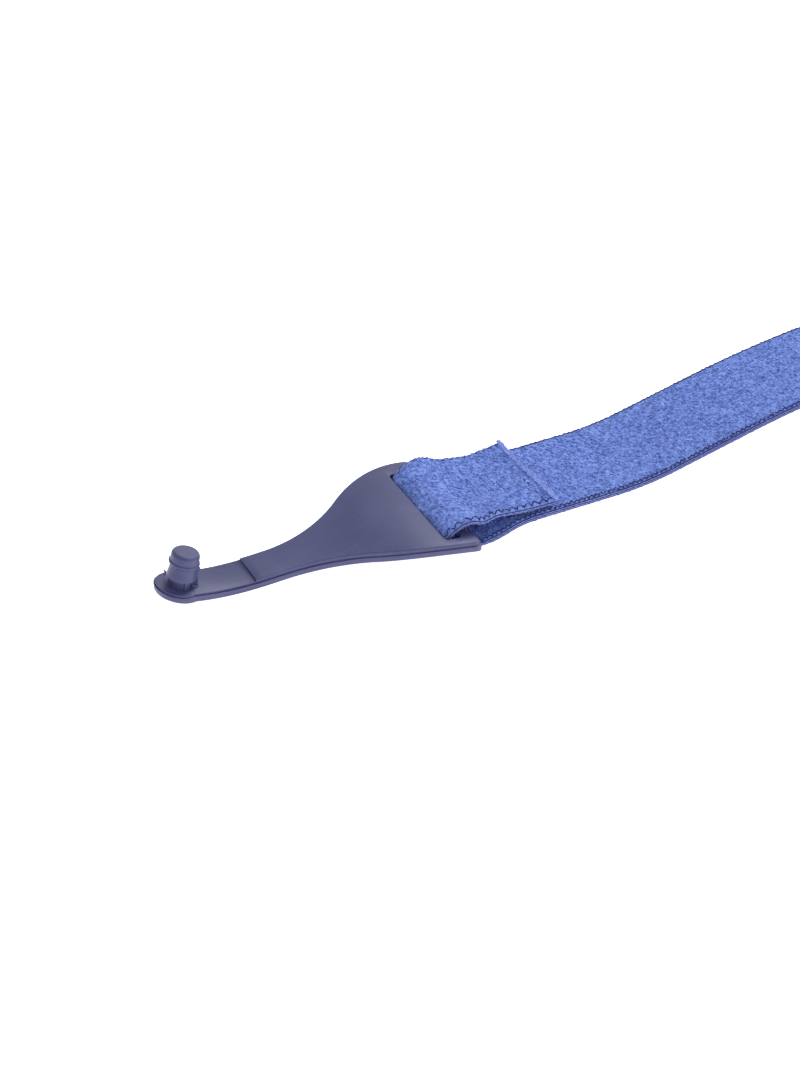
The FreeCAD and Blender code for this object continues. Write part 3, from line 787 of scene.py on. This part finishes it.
def edgeStretch(name, fromRun, toRun, side, move):
    onTail = 1 if fromRun > runAt["loopIn"] - 1 else 0
    pitch, reach = edgeBuild["scallop"][onTail], edgeBuild["reach"][onTail]
    step = pitch / 8
    a = np.arange(fromRun, toRun + step / 2, step)
    a = np.clip(a, fromRun, toRun)
    wave = np.abs(np.sin(math.pi * a / pitch))
    wobble = 0.05 * np.sin(a * 2.9) + 0.04 * np.sin(a * 7.3)
    lines = []
    for face in (0, 1):
        thick = aboveAt(a) if face == 0 else belowAt(a)
        for edge in (-1, 1):
            y = edge * (halfWidthAt(a) - 0.12 - reach * wave + wobble)
            rise = thick - edgeBuild["sunk"] + edgeBuild["crown"] * wave
            rise = rise - 0.10 * onTail * (edge > 0)
            if face == 1:
                rise = np.where(liesOnFloor(a, 1.3, 1), rise - 0.16, rise)
            lines.append(onBand(a, y, rise if face == 0 else -rise, side))
    for edge in (-1, 1):
        for level in edgeBuild["selvedgeRises"]:
            y = edge * (halfWidthAt(a) - 0.01 + 0.02 * np.sin(a * 4.3 + level * 7))
            lines.append(onBand(a, y, level * squeezeAt(a), side))
    stitches = makeStrands(name + "_edge_stitches", np.stack(lines), edgeBuild["thread"], 5,
                           edgeNavy)
    settle(stitches, move)
    a = np.linspace(fromRun, toRun, max(4, int((toRun - fromRun) * 2.5)))
    lines = []
    for edge in (-1, 1):
        for rise in edgeBuild["cordRises"]:
            y = edge * (halfWidthAt(a) + 0.02 + 0.03 * np.sin(a * 5.1 + rise * 9))
            lines.append(onBand(a, y, rise * squeezeAt(a), side))
    cords = makeStrands(name + "_edge_cords", np.stack(lines), edgeBuild["cord"], 6, edgePale)
    settle(cords, move)
    return [stitches, cords]


def joinLine(fromX, toX, height, side):
    return ((side * fromX * mm, 0, height * mm), (side * toX * mm, 0, height * mm))


def layBand():
    made = {}
    plan = [("crest_band", -runAt["foldIn"], runAt["foldIn"], 1,
             ("band_stretch_end", "band_middle", *joinLine(*bandJoins["stretch"], 1)),
             ("band_middle", "band_stretch_end"), "laid")]
    for word, side in bodiesOfSide:
        inner = "band_middle" if side > 0 else "band_stretch_end"
        bodies = {part: word + "_" + part for part in ("run", "loop", "tail_root", "tail")}
        plan += [
            (word + "_fold_band", runAt["foldIn"], runAt["foldOut"], side,
             (inner, bodies["run"], *joinLine(*bandJoins["fold"], side)), (), "laid"),
            (word + "_run_band", runAt["foldOut"], runAt["loopIn"], side,
             (bodies["run"], bodies["loop"], *joinLine(*bandJoins["run"], side)),
             (word + "_run",), "laid"),
            (word + "_loop_band", runAt["loopIn"], runAt["tailIn"], side,
             (bodies["loop"],), (word + "_loop",), "folded"),
            (word + "_tail_bend", runAt["tailIn"], runAt["slideIn"], side,
             (bodies["loop"], bodies["tail_root"], *joinLine(*bandJoins["peel"], side)),
             (word + "_tail_root",), None),
            (word + "_tail_strip", runAt["slideIn"], runAt["cut"], side,
             (bodies["tail_root"], bodies["tail"], *joinLine(*bandJoins["slide"], side)),
             (word + "_tail_end",), "folded"),
        ]
    for name, fromRun, toRun, side, move, nodes, held in plan:
        piece = bandStretch(name, fromRun, toRun, side, move)
        if nodes:
            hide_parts(*nodes)
        extras = [pileStretch(name + "_pile", fromRun, toRun, side, move)]
        extras += edgeStretch(name, fromRun, toRun, side, move)
        made[name] = (piece, extras, held, toRun - fromRun)
    for name, (piece, extras, held, length) in made.items():
        if held is None:
            continue
        if name.endswith("tail_strip"):
            bend = made[name.replace("strip", "bend")]
            extras = extras + [bend[0]] + bend[1]
        word = name.split("_")[0]
        print("laid", name, "%.1f mm" % length)


layBand()


# cut end: frayed yarns, ends of the rubber cores

fringeBuild = {
    "white": 2100,
    "blue": 900,
    "long": (0.25, 0.95),
    "thick": (0.035, 0.065),
    "corePitch": 1.05,
    "core": 0.24,
}


def frayEnd(word, side):
    for tint, material, count in (("white", frayYarn, fringeBuild["white"]),
                                  ("blue", pileYarn, fringeBuild["blue"])):
        y = dice.uniform(-1, 1, (count, 1)) * (bandBuild["tailHalfWidth"] - 0.1)
        rise = -0.88 + dice.random((count, 1)) ** 2
        inside = dice.uniform(0, 0.5, (count, 1)) * (rise < -0.70)   # the top ones root in the pile
        long = dice.uniform(*fringeBuild["long"], (count, 1)) * (0.8 if tint == "white" else 1.1)
        t = np.linspace(0, 1, 5)[None, :]
        sideways = dice.normal(0, 0.35, (count, 1)) * long
        curl = dice.normal(-0.15, 0.40, (count, 1)) * long
        a = np.full((count, 1), runAt["cut"])
        base = onBand(a + 0 * t, y + sideways * t, rise + curl * t ** 2 - 0.1 * t, side)
        base[..., 0] += side * mm * (long * t * (1 - 0.25 * t ** 2) - 0.12 - inside)
        thin = dice.uniform(*fringeBuild["thick"], (count, 1)) * (1 - 0.5 * t)
        nap = 0.75 + 0 * (t + y)
        piece = makeStrands(word + "_fringe_" + tint, base, thin, 3, material,
                            np.stack(np.broadcast_arrays(a + t, y + t), axis=-1), nap)
        settle(piece, (word + "_tail",))
    y = np.arange(-8.9, 9.0, fringeBuild["corePitch"])[:, None]
    t = np.linspace(0, 1, 4)[None, :]
    a = np.full_like(y, runAt["cut"])
    ends = onBand(a + 0 * t, y + 0 * t, -0.05 + 0 * t + 0 * y, side)
    ends[..., 0] += side * mm * (-0.3 + t * (0.42 + 0.10 * np.sin(y * 3.7)))
    cores = makeStrands(word + "_rubber_cores", ends, fringeBuild["core"] * (1 - 0.35 * t ** 6),
                        8, cutYarn)
    settle(cores, (word + "_tail",))


# hook patch under the tail, and the seam that holds it

patchBuild = {
    "start": 11.8,
    "end": 17.6,
    "half": 9.0,
    "top": 3.60,
    "base": 0.22,
    "skew": 0.072,             # sewn on a little askew
    "hookPitch": (0.62, 0.74),
    "hookTall": 0.34,
}


def makePatch(word, side):
    rows, columns = 34, 70
    u = np.linspace(patchBuild["start"], patchBuild["end"], rows)[:, None]
    v = np.linspace(-1, 1, columns)[None, :] * patchBuild["half"]
    x = barX + u + patchBuild["skew"] * v
    lift = tailWave(runAt["cut"] - (bandLine["tailEnd"] - u) + 0 * v, v + 0 * u)
    weave = 0.02 * np.sin(u * 9) * np.sin(v * 9)
    levels = []
    for level in (patchBuild["top"] - 0.01, patchBuild["top"] - patchBuild["base"]):
        z = level + lift + weave
        levels.append(np.stack([x, v + 0 * u, z], axis=-1))
    top, bottom = levels
    ring = np.concatenate([top, bottom[:, ::-1]], axis=1)
    points = ring * (side, side, 1) * mm
    around = 2 * columns
    quads = ringFaces(rows, around) + endFaces(rows, around)
    uv = np.stack([ring[..., 0], ring[..., 1]], axis=-1)
    patch = newPiece(word + "_hook_tape", points, quads, hookTape, uv)
    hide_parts(word + "_hook_patch")
    settle(patch, (word + "_tail",))
    pu, pv = patchBuild["hookPitch"]
    gridU, gridV = np.meshgrid(np.arange(patchBuild["start"] + 0.3, patchBuild["end"] - 0.1, pu),
                               np.arange(-patchBuild["half"] + 0.3, patchBuild["half"], pv))
    gridU = gridU.reshape(-1, 1) + dice.normal(0, 0.04, (gridU.size, 1))
    gridV = gridV.reshape(-1, 1) + dice.normal(0, 0.04, (gridV.size, 1))
    t = np.linspace(0, 1, 6)[None, :]
    lean = np.where(np.arange(len(gridU))[:, None] % 2 == 0, 1.0, -1.0)
    hookX = barX + gridU + patchBuild["skew"] * gridV + lean * 0.16 * np.sin(t * 2.9) ** 2
    lift = tailWave(runAt["cut"] - (bandLine["tailEnd"] - gridU), gridV)
    bend = 0.75                # from here the hook turns back up
    drop = (np.sin(np.minimum(t, bend) / bend * math.pi / 2)
            - 0.28 * np.clip((t - bend) / (1 - bend), 0, 1))
    hookZ = patchBuild["top"] - patchBuild["base"] + 0.02 + lift - patchBuild["hookTall"] * drop
    hooks = np.stack(np.broadcast_arrays(hookX, gridV, hookZ), axis=-1) * (side, side, 1) * mm
    hooks = makeStrands(word + "_tape_hooks", hooks, 0.05, 4, hookTape)
    settle(hooks, (word + "_tail",))


seamBuild = {"pitch": 2.0, "count": 9, "long": 0.62, "thread": 0.085, "bury": 0.10}


def sewSeam(word, side):
    middle = (seamBuild["count"] - 1) / 2
    y = ((np.arange(seamBuild["count"]) - middle) * seamBuild["pitch"])[:, None]
    t = np.linspace(-1, 1, 9)[None, :]
    a = np.full_like(y, runAt["seam"]) + 0 * t + 0.05 * np.sin(y * 2)
    rise = -(bandBuild["below"] - seamBuild["bury"] + 0.13 * (1 - t ** 2) ** 0.5
             - 0.12 * (np.abs(t) > 0.98))
    lines = onBand(a, y + t * seamBuild["long"] / 2, rise + 0 * y, side)
    stitches = makeStrands(word + "_seam_stitches", lines, seamBuild["thread"], 6, seamThread)
    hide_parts(word + "_stitches")
    settle(stitches, (word + "_tail",))
    under = onBand(a, y + 1.0 + t * 0.5, 0.60 + 0.05 * (1 - t ** 2) + 0 * y, side)
    locks = makeStrands(word + "_seam_locks", under[:-1], 0.1, 5, seamThread)
    settle(locks, (word + "_tail",))
    t = np.linspace(0, 1, 7)[None, :]
    tuft = onBand(runAt["seam"] - 0.1 + 0.5 * t, -3.1 + 0.35 * np.sin(t * 4),
                  -(bandBuild["below"] + 0.02 + 0.25 * np.sin(t * 3.1)), side)
    knot = makeStrands(word + "_seam_tuft", tuft, 0.09 * (1.2 - 0.6 * t), 6, cutYarn)
    settle(knot, (word + "_tail",))


for word, side in bodiesOfSide:
    frayEnd(word, side)
    makePatch(word, side)
    sewSeam(word, side)
print("tail ends, hook tape and seams ready")


# clips: the frame's own mouldings with softened edges

clipBuild = {
    "soften": 0.11,
    "edgeAngle": 24,
    "rimAbovePad": 4.45,       # from the pad to the middle of the rim, where the frame's mount is
    "fins": ((-28, 1.7, 2.95, 0.17, 3.9), (-57, 1.7, 2.55, 0.09, 3.2)),
    "nib": ((-1.1, 3.45, 0.05), (-1.3, 4.15, 0.30), 0.28),
}


def onPad(point, side):
    # from the pad's own frame, millimetres from the foot of the button, to the model
    rim = frame["record"]["mounts"][0]
    leanX, leanZ = rim["axis"][0], rim["axis"][2]
    u, v, w = point
    w -= clipBuild["rimAbovePad"]
    x = rim["pos_m"][0] / mm + u * leanZ + w * leanX
    z = rim["pos_m"][2] / mm - u * leanX + w * leanZ
    return (side * x * mm, side * v * mm, z * mm)


def addFlash(word, side):
    # thin fins of flash at the button's split line, and the nib where the mould was filled
    points, faces = [], []
    for angle, near, far, half, tall in clipBuild["fins"]:
        turn = math.radians(angle)
        ahead, across = (math.cos(turn), math.sin(turn)), (-math.sin(turn), math.cos(turn))
        start = len(points)
        levels = ((0.25, far + 0.25), (0.7, far), (tall * 0.6, far - 0.18), (tall, far - 0.05))
        for high, reach in levels:
            outline = ((near, -half), (reach, -half * 0.5), (reach, half * 0.5), (near, half))
            for out, off in outline:
                points.append(onPad((ahead[0] * out + across[0] * off,
                                     ahead[1] * out + across[1] * off, high), side))
        faces += [tuple(start + k for k in face) for face in ringFaces(len(levels), 4)]
        top = start + 4 * (len(levels) - 1)
        faces += [tuple(range(start + 3, start - 1, -1)), tuple(range(top, top + 4))]
    foot, tip, thick = clipBuild["nib"]
    foot, tip = np.array(foot), np.array(tip)
    start = len(points)
    for t, wide in ((0, 1.0), (0.55, 0.75), (1, 0.3)):
        for k in range(6):
            turn = k * math.pi / 3
            out = 0.7 * thick * wide * math.cos(turn)
            high = thick * wide * math.sin(turn)
            points.append(onPad(foot + (tip - foot) * t + (out, out, high), side))
    faces += [tuple(start + k for k in face) for face in ringFaces(3, 6)]
    faces += [tuple(range(start + 5, start - 1, -1)), tuple(range(start + 12, start + 18))]
    flash = newPiece(word + "_clip_flash", np.array(points), faces, clipPlastic)
    flash.data.polygons.foreach_set("use_smooth", np.zeros(len(faces), bool))
    settle(flash, (word + "_clip",))


def dressClip(word, side):
    clip = frame["nodes"][word + "_clip"]
    weld = clip.modifiers.new("weld", "WELD")
    weld.merge_threshold = 0.000001
    soften = clip.modifiers.new("soften", "BEVEL")
    soften.width = clipBuild["soften"] * mm
    soften.segments = 3
    soften.limit_method = "ANGLE"
    soften.angle_limit = math.radians(clipBuild["edgeAngle"])
    soften.harden_normals = True
    soften.use_clamp_overlap = True
    clip.data.materials.clear()
    clip.data.materials.append(clipPlastic)


for word, side in bodiesOfSide:
    dressClip(word, side)
    addFlash(word, side)
print("clips ready")
